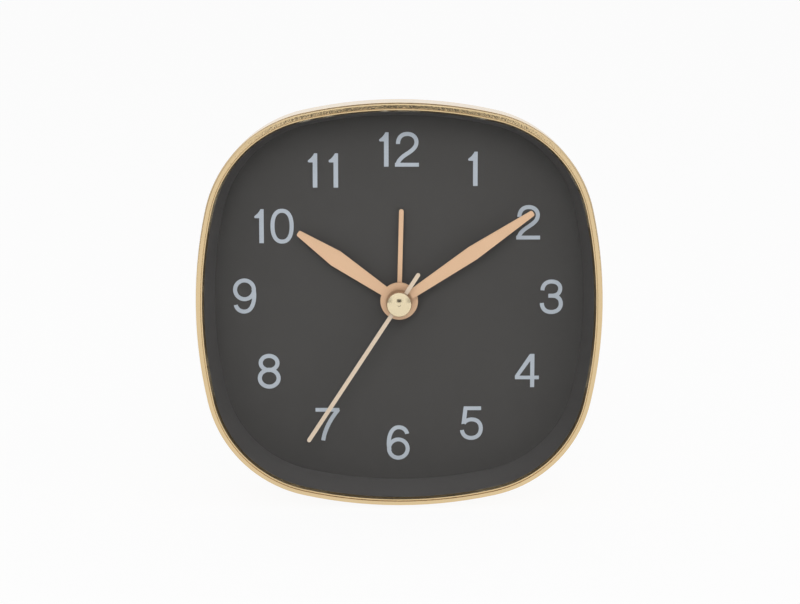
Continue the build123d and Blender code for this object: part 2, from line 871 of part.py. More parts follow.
# Third wheel: carries the second wheel's motion down to the centre wheel
with BuildPart() as third_wheel:
    wheel(third_layer, train_thickness, third_wheel_teeth, third_module, third_wheel_phase, third_place)
    pinion(centre_layer, third_layer, third_pinion_teeth, centre_module, 0, third_place)
    disc(third_layer + train_thickness, step_layer, train_arbor_radius, third_place)
    disc(middle_plate_front, rear_plate_back, pivot_radius, third_place)
third_wheel.part.label = "third_wheel"
export_step(third_wheel.part, "parts/third_wheel.step")

# Centre wheel: sits on the minute tube, held by friction so that the hands can be set
with BuildPart() as centre_wheel:
    wheel(centre_layer, train_thickness, centre_wheel_teeth, centre_module, centre_wheel_phase)
    disc(centre_layer, centre_layer + train_thickness, minute_tube_radius, mode=Mode.SUBTRACT)
centre_wheel.part.label = "centre_wheel"
export_step(centre_wheel.part, "parts/centre_wheel.step")

# Minute tube: cannon pinion and the tube that carries the minute hand
minute_tube_front = dial_front - minute_hand_height - hand_thickness - tube_end
minute_tube_back = centre_layer + train_thickness
minute_bore = second_arbor_radius + running_fit
with BuildPart() as minute_tube:
    pinion(motion_layer, motion_layer + wheel_thickness, cannon_pinion_teeth, motion_module, 0)
    disc(minute_tube_front, minute_tube_back, minute_tube_radius)
    disc(minute_tube_front, minute_tube_back, minute_bore, mode=Mode.SUBTRACT)
minute_tube.part.label = "minute_tube"
export_step(minute_tube.part, "parts/minute_tube.step")

# Motion wheel: gears the minute down to the hour, on the arbor of the time-setting knob
with BuildPart() as motion_wheel:
    wheel(
        motion_layer, wheel_thickness, motion_wheel_teeth, motion_module,
        motion_wheel_phase, time_set_place,
    )
    pinion(hour_layer, motion_layer, motion_pinion_teeth, hour_module, 0, time_set_place)
    disc(main_plate_back, hour_layer, set_arbor_radius, time_set_place)
    disc(main_plate_front, main_plate_back, set_pivot_radius, time_set_place)
    disc(motion_layer, knob_back - knob_wall, set_arbor_radius, time_set_place)
motion_wheel.part.label = "motion_wheel"
export_step(motion_wheel.part, "parts/motion_wheel.step")

# Hour wheel: with the tube that carries the hour hand
hour_tube_front = dial_front - hour_hand_height - hand_thickness - tube_end
hour_tube_back = hour_layer + wheel_thickness
hour_bore = minute_tube_radius + running_fit
with BuildPart() as hour_wheel:
    wheel(hour_layer, wheel_thickness, hour_wheel_teeth, hour_module, hour_wheel_phase)
    disc(hour_tube_front, hour_tube_back, hour_tube_radius)
    disc(hour_tube_front, hour_tube_back, hour_bore, mode=Mode.SUBTRACT)
hour_wheel.part.label = "hour_wheel"
export_step(hour_wheel.part, "parts/hour_wheel.step")

# Alarm wheel: with the tube that carries the alarm hand
alarm_tube_front = dial_front - alarm_hand_height - hand_thickness - tube_end
alarm_tube_back = alarm_layer + wheel_thickness
alarm_bore = hour_tube_radius + running_fit
with BuildPart() as alarm_wheel:
    wheel(alarm_layer, wheel_thickness, alarm_wheel_teeth, alarm_module, alarm_wheel_phase)
    disc(alarm_tube_front, alarm_tube_back, alarm_tube_radius)
    disc(alarm_tube_front, alarm_tube_back, alarm_bore, mode=Mode.SUBTRACT)
alarm_wheel.part.label = "alarm_wheel"
export_step(alarm_wheel.part, "parts/alarm_wheel.step")

# Alarm arbor: the pinion that the alarm-setting knob turns
with BuildPart() as alarm_arbor:
    pinion(
        alarm_layer, alarm_layer + wheel_thickness, alarm_pinion_teeth, alarm_module, 0, alarm_set_place,
    )
    disc(main_plate_back, alarm_layer, set_arbor_radius, alarm_set_place)
    disc(main_plate_front, main_plate_back, set_pivot_radius, alarm_set_place)
    disc(alarm_layer, middle_plate_front - layer_gap, alarm_pivot_collar, alarm_set_place)
    disc(alarm_layer, knob_back - knob_wall, set_arbor_radius, alarm_set_place)
alarm_arbor.part.label = "alarm_arbor"
export_step(alarm_arbor.part, "parts/alarm_arbor.step")

# Setting knobs: ribbed discs pressed on the ends of the two arbors
knob_radii = (knob_radius - knob_rib_height, knob_radius - knob_rib_height / 2, knob_radius)
for name, place in (("time_set_knob", time_set_place), ("alarm_set_knob", alarm_set_place)):
    with BuildPart() as knob:
        toothed_bar(knob_front, knob_back, tooth_points(knob_ribs, knob_radii, knob_rib_shares, 0), place)
        disc(knob_back, knob_back + knob_edge, knob_radius - knob_rib_height - knob_edge, place)
        disc(knob_front, knob_back - knob_wall, set_arbor_radius, place, Mode.SUBTRACT)
    knob.part.label = name
    export_step(knob.part, f"parts/{name}.step")


def hand_plane(height, angle):
    """Sketch plane of a hand's underside, turned clockwise so that its y runs along the hand."""
    along = (math.cos(math.radians(angle)), 0, -math.sin(math.radians(angle)))
    return Plane(origin=(0, front_y + dial_front - height, axis_height), x_dir=along, z_dir=(0, -1, 0))


def finish_hand(height, hub_radius, tube_radius):
    """Hub disc, collet under it and the bore for its tube."""
    disc(dial_front - height, dial_front - height - hand_thickness, hub_radius)
    collet_radius = tube_radius + hand_collet_wall
    disc(dial_front - height + hand_collet_height, dial_front - height, collet_radius)
    disc(
        dial_front - height + hand_collet_height, dial_front - height - hand_thickness,
        tube_radius, mode=Mode.SUBTRACT,
    )


def leaf_blade(height, angle, length, waist, width, tip, shoulder):
    """A flat blade that widens from its waist to a shoulder and narrows to a blunt tip."""
    with BuildSketch(hand_plane(height, angle)) as profile:
        with BuildLine():
            Polyline(
                (-waist / 2, 0), (waist / 2, 0), (width / 2, shoulder), (tip / 2, length),
                (-tip / 2, length), (-width / 2, shoulder),
                close=True,
            )
        make_face()
        fillet(vertices().group_by(Axis.Y)[-1], radius=tip * hand_tip_share)
    extrude(profile.sketch, amount=hand_thickness)


def baton_blade(height, angle, length, tail, width):
    """A flat bar with round ends, from its tail to its tip."""
    with BuildSketch(hand_plane(height, angle)) as profile:
        with Locations(Location((0, (length - tail) / 2, 0), (0, 0, 90))):
            SlotOverall(length + tail, width)
    extrude(profile.sketch, amount=hand_thickness)


# Alarm hand: the short bar nearest the dial
with BuildPart() as alarm_hand:
    baton_blade(alarm_hand_height, alarm_hand_angle, alarm_hand_length, 0, alarm_hand_width)
    finish_hand(alarm_hand_height, alarm_hub_radius, alarm_tube_radius)
alarm_hand.part.label = "alarm_hand"
export_step(alarm_hand.part, "parts/alarm_hand.step")

# Hour hand
with BuildPart() as hour_hand:
    leaf_blade(
        hour_hand_height, hour_hand_angle, hour_hand_length,
        hour_hand_waist, hour_hand_width, hour_hand_tip, hour_hand_shoulder,
    )
    finish_hand(hour_hand_height, hour_hub_radius, hour_tube_radius)
hour_hand.part.label = "hour_hand"
export_step(hour_hand.part, "parts/hour_hand.step")

# Minute hand
with BuildPart() as minute_hand:
    leaf_blade(
        minute_hand_height, minute_hand_angle, minute_hand_length,
        minute_hand_waist, minute_hand_width, minute_hand_tip, minute_hand_shoulder,
    )
    finish_hand(minute_hand_height, minute_hub_radius, minute_tube_radius)
minute_hand.part.label = "minute_hand"
export_step(minute_hand.part, "parts/minute_hand.step")

# Second hand
with BuildPart() as second_hand:
    baton_blade(
        second_hand_height, second_hand_angle, second_hand_length, second_hand_tail, second_hand_width,
    )
    finish_hand(second_hand_height, second_hub_radius, second_arbor_radius)
second_hand.part.label = "second_hand"
export_step(second_hand.part, "parts/second_hand.step")

# Hub cap: a polished dome over the second hand's hub
cap_foot = dial_front - second_hand_height - hand_thickness
cap_shoulder = cap_foot - cap_side
cap_curve = (cap_radius**2 + cap_crown**2) / (2 * cap_crown)
cap_half_angle = math.asin(cap_radius / cap_curve) / 2
cap_between = cap_shoulder - cap_crown + cap_curve * (1 - math.cos(cap_half_angle))
with BuildPart() as hub_cap:
    with BuildSketch(section_plane):
        with BuildLine():
            Polyline(
                (0, front_y + cap_shoulder - cap_crown),
                (0, front_y + cap_foot),
                (cap_radius, front_y + cap_foot),
                (cap_radius, front_y + cap_shoulder),
            )
            ThreePointArc(
                (cap_radius, front_y + cap_shoulder),
                (cap_curve * math.sin(cap_half_angle), front_y + cap_between),
                (0, front_y + cap_shoulder - cap_crown),
            )
        make_face()
    revolve(axis=Axis((0, 0, axis_height), (0, 1, 0)))
hub_cap.part.label = "hub_cap"
export_step(hub_cap.part, "parts/hub_cap.step")

# Stator: two poles round the magnet, joined by the core that runs through the coil
with BuildPart() as stator:
    block(
        stator_front, stator_back, stator_right - stator_left, 2 * stator_half,
        ((stator_left + stator_right) / 2, rotor_place[1]),
    )
    window_left = stator_left + stator_core_width
    window_right = rotor_place[0] - stator_pole_half
    block(
        stator_front, stator_back, window_right - window_left, coil_length,
        ((window_left + window_right) / 2, rotor_place[1]), Mode.SUBTRACT,
    )
    block(
        stator_front, stator_back, stator_right - window_left, stator_slit,
        ((window_left + stator_right) / 2, rotor_place[1]), Mode.SUBTRACT,
    )
    disc(stator_front, stator_back, magnet_radius + air_gap, rotor_place, Mode.SUBTRACT)
stator.part.label = "stator"
export_step(stator.part, "parts/stator.step")


def coil_plane(height):
    """Sketch plane across the coil, at a height from its middle."""
    return Plane(
        origin=(coil_place, front_y + stator_middle, axis_height + rotor_place[1] + height),
        x_dir=(1, 0, 0), z_dir=(0, 0, 1),
    )


# Coil bobbin: a flanged spool on the stator's core
coil_end = coil_length / 2
with BuildPart() as coil_bobbin:
    with BuildSketch(coil_plane(-coil_end)):
        Circle(coil_core_radius)
    extrude(amount=coil_length)
    with BuildSketch(coil_plane(-coil_end), coil_plane(coil_end - coil_flange_thickness)):
        Circle(coil_flange_radius)
    extrude(amount=coil_flange_thickness)
    with BuildSketch(coil_plane(-coil_end)):
        Rectangle(stator_core_width, stator_thickness)
    extrude(amount=coil_length, mode=Mode.SUBTRACT)
coil_bobbin.part.label = "coil_bobbin"
export_step(coil_bobbin.part, "parts/coil_bobbin.step")

# Coil winding: fine wire laid so close that it is one smooth sleeve
with BuildPart() as coil_winding:
    with BuildSketch(coil_plane(coil_flange_thickness - coil_end)):
        Circle(coil_radius)
        Circle(coil_core_radius, mode=Mode.SUBTRACT)
    extrude(amount=coil_length - 2 * coil_flange_thickness)
coil_winding.part.label = "coil_winding"
export_step(coil_winding.part, "parts/coil_winding.step")


def on_board(shares):
    """Place on the board, as shares of its width and height from its lower left corner."""
    return (board_left + board_width * shares[0], board_bottom + board_height * shares[1])


# Circuit board
board_middle = (board_left + board_width / 2, board_bottom + board_height / 2)
with BuildPart() as circuit_board:
    block(board_depth, board_back, board_width, board_height, board_middle)
    fillet(circuit_board.edges().filter_by(Axis.Y), radius=board_corner)
circuit_board.part.label = "circuit_board"
export_step(circuit_board.part, "parts/circuit_board.step")

# Quartz crystal: a small can lying on the board, with its two leads
crystal_place = on_board(crystal_place_shares)
crystal_depth = board_depth - crystal_radius


def crystal_plane(height):
    """Sketch plane across the crystal's can, at a height from its foot."""
    return Plane(
        origin=(crystal_place[0], front_y + crystal_depth, axis_height + crystal_place[1] + height),
        x_dir=(1, 0, 0), z_dir=(0, 0, 1),
    )


with BuildPart() as quartz_crystal:
    with BuildSketch(crystal_plane(0)):
        Circle(crystal_radius)
    extrude(amount=crystal_length)
    fillet(quartz_crystal.edges().group_by(Axis.Z)[-1], radius=crystal_radius * crystal_round_share)
    with BuildSketch(crystal_plane(0)):
        with Locations((-crystal_radius / 2, 0), (crystal_radius / 2, 0)):
            Circle(crystal_lead_radius)
    extrude(amount=-crystal_lead_length)
quartz_crystal.part.label = "quartz_crystal"
export_step(quartz_crystal.part, "parts/quartz_crystal.step")

# Control chip
chip_place = on_board(chip_place_shares)
with BuildPart() as control_chip:
    block(board_depth - chip_height, board_depth, chip_width, chip_width, chip_place)
    chamfer(control_chip.faces().sort_by(Axis.Y)[0].edges(), length=chip_bevel)
control_chip.part.label = "control_chip"
export_step(control_chip.part, "parts/control_chip.step")

# Buzzer: a round sounder with its port
buzzer_place = on_board(buzzer_place_shares)
buzzer_front = board_depth - buzzer_height
with BuildPart() as buzzer:
    disc(buzzer_front, board_depth, buzzer_radius, buzzer_place)
    fillet(buzzer.faces().sort_by(Axis.Y)[0].edges(), radius=buzzer_rim)
    disc(buzzer_front, buzzer_front + buzzer_height / 2, buzzer_port_radius, buzzer_place, Mode.SUBTRACT)
buzzer.part.label = "buzzer"
export_step(buzzer.part, "parts/buzzer.step")

# Alarm contact: a bent strip from the main plate to the board, closed by the alarm wheel
contact_foot_v = board_bottom + alarm_contact_width
contact_foot_u = board_left + alarm_contact_width
with BuildPart() as alarm_contact:
    block(
        main_plate_back, main_plate_back + alarm_contact_thickness,
        alarm_contact_reach, alarm_contact_width,
        (contact_foot_u - alarm_contact_reach / 2, contact_foot_v),
    )
    block(
        main_plate_back, board_depth, alarm_contact_thickness, alarm_contact_width,
        (contact_foot_u + alarm_contact_thickness / 2, contact_foot_v),
    )
alarm_contact.part.label = "alarm_contact"
export_step(alarm_contact.part, "parts/alarm_contact.step")

# Rear cover: plate, raised platform and battery box
channel_half = door_half_width + door_fit
channel_top = door_top + door_fit
platform_reach = case_half - cover_inset - platform_inset
tab_places = [door_top - share * (door_top - door_bottom) for share in door_tab_shares]
slot_room = door_tab_width + door_fit
slot_depth = door_tab_thickness + 2 * door_fit
box_outer_half = box_half_width + battery_box_wall
box_outer_height = box_half_height + battery_box_wall
head_seat = cover_front + cover_screw_floor
pocket_width = switch_button_width + switch_travel + 2 * switch_fit
switch_rest = -switch_travel / 2
with BuildPart() as rear_cover:
    outline_slab(cover_inset, cover_front, cover_thickness)
    outline_slab(cover_inset + platform_inset, cover_back, platform_height)
    chamfer(rear_cover.faces().sort_by(Axis.Y)[-1].edges(), length=platform_edge)
    with BuildSketch(facing(box_front - battery_box_wall)):
        with Locations((0, battery_v)):
            RectangleRounded(2 * box_outer_half, 2 * box_outer_height, battery_box_corner)
    extrude(amount=box_front - battery_box_wall - cover_front)
    block(box_front, platform_back, 2 * box_half_width, 2 * box_half_height, (0, battery_v), Mode.SUBTRACT)
    channel_height = channel_top + platform_reach + overrun
    block(
        cover_back, platform_back, 2 * channel_half, channel_height,
        (0, channel_top - channel_height / 2), Mode.SUBTRACT,
    )
    slot_height = tab_places[0] + door_tab_length / 2 + door_fit + platform_reach + overrun
    block(
        cover_back, cover_back + slot_depth, 2 * (channel_half + slot_room), slot_height,
        (0, tab_places[0] + door_tab_length / 2 + door_fit - slot_height / 2), Mode.SUBTRACT,
    )
    for tab in tab_places:
        block(
            cover_back, platform_back, 2 * (channel_half + slot_room), door_tab_length + 2 * door_fit,
            (0, tab - door_travel), Mode.SUBTRACT,
        )
    for place in boss_places:
        disc(cover_front, head_seat, cover_screw_radius + screw_fit, place, Mode.SUBTRACT)
        disc(head_seat, platform_back, cover_screw_head_radius + loose_fit, place, Mode.SUBTRACT)
    for place in (time_set_place, alarm_set_place):
        disc(cover_front, platform_back, set_arbor_radius + loose_fit, place, Mode.SUBTRACT)
    with BuildSketch(facing(cover_front)):
        with Locations(buzzer_place):
            Circle(sound_hole_radius)
            with PolarLocations(sound_hole_ring_radius, sound_hole_count):
                Circle(sound_hole_radius)
    extrude(amount=cover_front - platform_back, mode=Mode.SUBTRACT)
    block(
        cover_front, cover_back, switch_neck_width + switch_travel + 2 * switch_fit,
        switch_neck_height + 2 * switch_fit, (0, switch_height), Mode.SUBTRACT,
    )
    block(
        cover_back, platform_back, pocket_width, switch_button_height + 2 * switch_fit,
        (0, switch_height), Mode.SUBTRACT,
    )
rear_cover.part.label = "rear_cover"
export_step(rear_cover.part, "parts/rear_cover.step")

# Rear cover screws: cross-headed, sunk in the cover
cross_depth = cover_screw_head_height * screw_slot_depth_share
cover_head_back = head_seat + cover_screw_head_height
with BuildPart() as rear_cover_screws:
    for place in boss_places:
        disc(head_seat - cover_screw_length, head_seat, cover_screw_radius, place)
        disc(head_seat, cover_head_back, cover_screw_head_radius, place)
        for width, height in (
            (cover_screw_head_radius, screw_slot_width),
            (screw_slot_width, cover_screw_head_radius),
        ):
            block(cover_head_back - cross_depth, cover_head_back, width, height, place, Mode.SUBTRACT)
rear_cover_screws.part.label = "rear_cover_screws"
export_step(rear_cover_screws.part, "parts/rear_cover_screws.step")

# Battery door: slides down until its tabs stand free of the cover, then lifts off
door_height = door_top - door_bottom
door_middle = (door_top + door_bottom) / 2
door_back = door_front + door_thickness
rib_first = door_top - door_rib_pitch - door_overlap
with BuildPart() as battery_door:
    block(door_front, door_back, 2 * door_half_width, door_height, (0, door_middle))
    fillet(battery_door.edges().filter_by(Axis.Y), radius=door_corner)
    for tab in tab_places:
        block(
            door_front, door_front + door_tab_thickness,
            2 * (door_half_width + door_tab_width), door_tab_length, (0, tab),
        )
    for rib in range(door_rib_count):
        block(
            door_back, door_back + door_rib_height, door_rib_length, door_rib_width,
            (0, rib_first - rib * door_rib_pitch),
        )
battery_door.part.label = "battery_door"
export_step(battery_door.part, "parts/battery_door.step")


def across(u):
    """Sketch plane square to the battery's axis: x towards the back, y up, seen from the right."""
    return Plane(
        origin=(u, front_y + battery_depth, axis_height + battery_v), x_dir=(0, 1, 0), z_dir=(1, 0, 0),
    )


# Battery: one AA cell, its nub to the right
battery_end = battery_length / 2
can_length = battery_length - battery_nub_length
with BuildPart() as battery:
    with BuildSketch(across(-battery_end)):
        Circle(battery_radius)
    extrude(amount=can_length)
    fillet(battery.edges().filter_by(GeomType.CIRCLE), radius=battery_shoulder)
    with BuildSketch(across(battery_end - battery_nub_length)):
        Circle(battery_nub_radius)
    extrude(amount=battery_nub_length)
battery.part.label = "battery"
export_step(battery.part, "parts/battery.step")

# Battery contacts: a dimpled plate at the nub, a sprung leaf at the flat end
with BuildPart() as positive_contact:
    with BuildSketch(across(box_half_width - contact_thickness)):
        Rectangle(contact_width, contact_width)
    extrude(amount=contact_thickness)
    with BuildSketch(across(battery_end)):
        Circle(contact_dimple_radius)
    extrude(amount=contact_room - contact_thickness)
positive_contact.part.label = "positive_contact"
export_step(positive_contact.part, "parts/positive_contact.step")

leaf_plane = Plane(
    origin=(-box_half_width, front_y + battery_depth, axis_height + battery_v),
    x_dir=(1, 0, 0), z_dir=(0, 0, 1),
)
with BuildPart() as negative_contact:
    with BuildSketch(across(-box_half_width)):
        Rectangle(contact_width, contact_width)
    extrude(amount=contact_thickness)
    with BuildSketch(leaf_plane):
        with BuildLine():
            half = contact_width / 2
            ThreePointArc((contact_thickness, -half), (contact_room, 0), (contact_thickness, half))
            ThreePointArc(
                (contact_thickness, half - leaf_thickness),
                (contact_room - leaf_thickness, 0),
                (contact_thickness, leaf_thickness - half),
            )
            Line((contact_thickness, half), (contact_thickness, half - leaf_thickness))
            Line((contact_thickness, -half), (contact_thickness, leaf_thickness - half))
        make_face()
    extrude(amount=leaf_width / 2, both=True)
negative_contact.part.label = "negative_contact"
export_step(negative_contact.part, "parts/negative_contact.step")

# Alarm switch: a slider with a button outside and a flange inside
switch_place = (switch_rest, switch_height)
flange_back = cover_front - switch_fit / 2
with BuildPart() as alarm_switch:
    block(
        cover_back + switch_fit / 2, platform_back + switch_button_rise,
        switch_button_width, switch_button_height, switch_place,
    )
    chamfer(alarm_switch.faces().sort_by(Axis.Y)[-1].edges(), length=switch_edge)
    block(
        flange_back, cover_back + switch_fit / 2, switch_neck_width, switch_neck_height, switch_place,
    )
    block(
        flange_back - switch_flange_thickness, flange_back,
        switch_flange_width, switch_flange_height, switch_place,
    )
alarm_switch.part.label = "alarm_switch"
export_step(alarm_switch.part, "parts/alarm_switch.step")
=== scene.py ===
"""Dresses a small table alarm clock: materials, the printed numerals, camera, floor and light.

Lengths named in millimetres are turned to metres by MM. Places on the dial are counted from the
hands' centre, u to the right and v up, as the clock is read.
"""

import json
import math

import bmesh
import bpy
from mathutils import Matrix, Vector


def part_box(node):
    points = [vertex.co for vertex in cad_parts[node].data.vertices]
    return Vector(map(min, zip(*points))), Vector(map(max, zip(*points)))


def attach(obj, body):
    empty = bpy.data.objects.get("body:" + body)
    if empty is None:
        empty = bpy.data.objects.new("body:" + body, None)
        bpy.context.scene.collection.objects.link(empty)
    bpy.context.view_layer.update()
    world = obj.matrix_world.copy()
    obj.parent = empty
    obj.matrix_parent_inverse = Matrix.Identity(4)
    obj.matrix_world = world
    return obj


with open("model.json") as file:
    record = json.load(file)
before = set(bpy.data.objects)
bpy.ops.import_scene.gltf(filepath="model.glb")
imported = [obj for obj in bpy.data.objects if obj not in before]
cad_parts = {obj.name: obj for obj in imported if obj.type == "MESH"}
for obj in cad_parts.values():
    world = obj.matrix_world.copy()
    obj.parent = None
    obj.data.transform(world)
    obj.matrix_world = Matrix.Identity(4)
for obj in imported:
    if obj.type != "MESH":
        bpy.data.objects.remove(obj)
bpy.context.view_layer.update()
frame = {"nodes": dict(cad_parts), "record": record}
nodes = frame["nodes"]
MM = 0.001

# Camera: the photograph's frame, its focal length and where the middle of the bezel lies in it
IMAGE_SIZE = (800, 604)
FOCAL_PIXELS = 2236
CAMERA_ELEVATION = math.radians(9.2)
CAMERA_DISTANCE = 520 * MM
CAMERA_CLIP = 10 * MM
BEZEL_PIXEL = (399.2, 307.6)

# Surfaces: detail of the two noises, where the drift in tone starts and ends, sockets of a colour mix
DRIFT_DETAIL = 3
DRIFT_BAND = (0.3, 0.7)
GRAIN_DETAIL = 2
MIX_FIRST = 6
MIX_SECOND = 7
MIX_RESULT = 2

# Lens: its tint, the roughness of its mirror and how steeply that mirror comes in at a slant
LENS_TINT = (0.985, 0.99, 0.99)
LENS_ROUGHNESS = 0.02
LENS_SLANT_POWER = 5

# Hands: the colour that the hour, minute and alarm hands share, and the lacquer on all four
HAND_COLOR = (0.72, 0.465, 0.293)
LACQUER = {"metallic": 0.25, "roughness": (0.42, 0.5), "tone": 0.02, "patch": 8, "grain": 0.4, "bump": 0}

# Painted shade round the hands' axis, a dark outline on the cap's rim and a darker minute hub behind the
# cap: the radii between which they come in, in millimetres, and their colours
CAP_RIM_SHADE = (2.74, 2.86)
CAP_RIM_SHADE_COLOR = (0.30, 0.19, 0.10)
MINUTE_HUB_SHADE = (3.4, 2.9)
MINUTE_HUB_SHADE_COLOR = (0.36, 0.21, 0.12)

# Factor that keeps x and z of a place and drops its depth
WITHOUT_DEPTH = (1, 0, 1)

# Printed numerals in millimetres: flat height, overshoot of round forms, drop of the 7's bar, strokes,
# half widths, the middle of each as u and v, gaps, and how far the print stands out and reaches in
DIGIT_HEIGHT = 8.1
ROUND_OVERSHOOT = 0.1
SIX_OVERSHOOT = 0.18
SEVEN_DROP = 0.14
STROKE = 0.95
WIDE_STROKE = 0.98
BAR_STROKE = 0.9
ONE_HALF_WIDTH = 1.12
DIGIT_HALF_WIDTH = 2.82
NUMERAL_PLACES = {
    1: (17.41, 31.12), 2: (30.58, 18.37), 3: (36.24, 0.56), 4: (30.58, -17.31),
    5: (17.35, -30.12), 6: (-0.21, -34.93), 7: (-17.28, -30.36), 8: (-31.13, -17.49),
    9: (-36.82, 0.74), 10: (-29.62, 17.49), 11: (-17.98, 30.73), 12: (-0.04, 35.69),
}
DIGIT_GAPS = {10: 1.5, 11: 2.67, 12: 1.5}
PRINT_RISE = 0.04
PRINT_SINK = 0.02

# Steps along a curve and round an oval, and the power that flattens the sides of the 0
CURVE_STEPS = 14
OVAL_STEPS = 4 * CURVE_STEPS
ZERO_POWER = 2.3

# Floor, world and lamps, in metres and watts
WHITE = (1, 1, 1, 1)
FLOOR_HALF = 6.0
FLOOR_COLOR = (0.9, 0.9, 0.9)
FLOOR_ROUGHNESS = 0.9
FLOOR_GLOW = 0.92
WORLD_LIGHT = 0.65
KEY_PLACE = (-0.05, -1.5, 0.6)
KEY_SIZE = 1.0
KEY_POWER = 13.2
FILL_PLACE = (0.9, -0.6, 0.7)
FILL_SIZE = 0.9
FILL_POWER = 1.5

# The camera's body in millimetres, and how far it sits below the line of sight
CAMERA_BODY = (160, 110, 60)
CAMERA_DROP = 20

# Flags in metres: NEAR and FAR say where along y the cloth is clear and where it has its full cover
FLAG_SIDE = 1.2
FLAG_TOP = 1.6
FLAG_NEAR = (-3.0, -1.4)
FLAG_FAR = (5.5, 2.5)
FLAG_COVER = 0.5
FLAG_COLOR = (0.12, 0.12, 0.12)


def link(obj):
    """Puts a new object into the scene."""
    bpy.context.scene.collection.objects.link(obj)
    return obj


def sheet(name, corners, made):
    """A flat piece with four corners and one material."""
    mesh = bpy.data.meshes.new(name)
    mesh.from_pydata(corners, [], [(0, 1, 2, 3)])
    mesh.materials.append(made)
    return link(bpy.data.objects.new(name, mesh))


# Camera
bezel_low, bezel_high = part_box("bezel")
bezel_middle = Vector(((bezel_low.x + bezel_high.x) / 2, bezel_low.y, (bezel_low.z + bezel_high.z) / 2))
towards_camera = Vector((0, -math.cos(CAMERA_ELEVATION), math.sin(CAMERA_ELEVATION)))
camera_up = Vector((0, math.sin(CAMERA_ELEVATION), math.cos(CAMERA_ELEVATION)))
pixel = CAMERA_DISTANCE / FOCAL_PIXELS
aim = bezel_middle + camera_up * (BEZEL_PIXEL[1] - IMAGE_SIZE[1] / 2) * pixel
aim.x += (IMAGE_SIZE[0] / 2 - BEZEL_PIXEL[0]) * pixel
camera = link(bpy.data.objects.new("camera", bpy.data.cameras.new("camera")))
camera.location = bezel_middle + towards_camera * CAMERA_DISTANCE
camera.rotation_euler = (aim - camera.location).to_track_quat("-Z", "Y").to_euler()
camera.data.sensor_fit = "HORIZONTAL"
camera.data.lens = camera.data.sensor_width * FOCAL_PIXELS / IMAGE_SIZE[0]
camera.data.clip_start = CAMERA_CLIP
bpy.context.scene.camera = camera


def new_material(name):
    """A node material and its node tree."""
    made = bpy.data.materials.new(name)
    made.use_nodes = True
    return made, made.node_tree


def combine(tree, operation, first, second, clamp=False):
    """The result of a Math node on two values, each a socket or a number."""
    node = tree.nodes.new("ShaderNodeMath")
    node.operation = operation
    node.use_clamp = clamp
    for socket, value in zip(node.inputs, (first, second)):
        if isinstance(value, (int, float)):
            socket.default_value = value
        else:
            tree.links.new(value, socket)
    return node.outputs["Value"]


def show_mix(tree, share, first, second, output="Material Output"):
    """Shows the first shader where share is 0 and the second where it is 1."""
    mix = tree.nodes.new("ShaderNodeMixShader")
    tree.links.new(share, mix.inputs["Fac"])
    tree.links.new(first, mix.inputs[1])
    tree.links.new(second, mix.inputs[2])
    tree.links.new(mix.outputs["Shader"], tree.nodes[output].inputs["Surface"])


def seen_by_eye(tree):
    """1 for a ray that shows the surface directly, in a mirror or through glass, else 0."""
    path = tree.nodes.new("ShaderNodeLightPath")
    either = combine(tree, "MAXIMUM", path.outputs["Is Camera Ray"], path.outputs["Is Glossy Ray"])
    return combine(tree, "MAXIMUM", either, path.outputs["Is Transmission Ray"])


def finish(
    name, color, metallic=0.0, roughness=(0.4, 0.5), tone=0.04, patch=12, grain=0.3, bump=0.1, specular=0.5,
):
    """A surface whose tone drifts in patches and whose gloss and relief follow a fine grain.

    tone is the share by which the colour drifts to either side. patch and grain are the sizes of the
    drift and of the grain in millimetres.
    """
    made, tree = new_material(name)
    shader = tree.nodes["Principled BSDF"]
    shader.inputs["Metallic"].default_value = metallic
    shader.inputs["Specular IOR Level"].default_value = specular
    place = tree.nodes.new("ShaderNodeTexCoord")
    drift = tree.nodes.new("ShaderNodeTexNoise")
    drift.inputs["Scale"].default_value = 1 / (patch * MM)
    drift.inputs["Detail"].default_value = DRIFT_DETAIL
    tree.links.new(place.outputs["Object"], drift.inputs["Vector"])
    ramp = tree.nodes.new("ShaderNodeValToRGB")
    low, high = ramp.color_ramp.elements
    low.position, high.position = DRIFT_BAND
    low.color = [channel * (1 - tone) for channel in color] + [1]
    high.color = [min(channel * (1 + tone), 1) for channel in color] + [1]
    tree.links.new(drift.outputs["Fac"], ramp.inputs["Fac"])
    tree.links.new(ramp.outputs["Color"], shader.inputs["Base Color"])
    fine = tree.nodes.new("ShaderNodeTexNoise")
    fine.inputs["Scale"].default_value = 1 / (grain * MM)
    fine.inputs["Detail"].default_value = GRAIN_DETAIL
    tree.links.new(place.outputs["Object"], fine.inputs["Vector"])
    gloss = tree.nodes.new("ShaderNodeMapRange")
    gloss.inputs["To Min"].default_value = roughness[0]
    gloss.inputs["To Max"].default_value = roughness[1]
    tree.links.new(fine.outputs["Fac"], gloss.inputs["Value"])
    tree.links.new(gloss.outputs["Result"], shader.inputs["Roughness"])
    if bump:
        relief = tree.nodes.new("ShaderNodeBump")
        relief.inputs["Strength"].default_value = bump
        relief.inputs["Distance"].default_value = grain * MM
        tree.links.new(fine.outputs["Fac"], relief.inputs["Height"])
        tree.links.new(relief.outputs["Normal"], shader.inputs["Normal"])
    return made


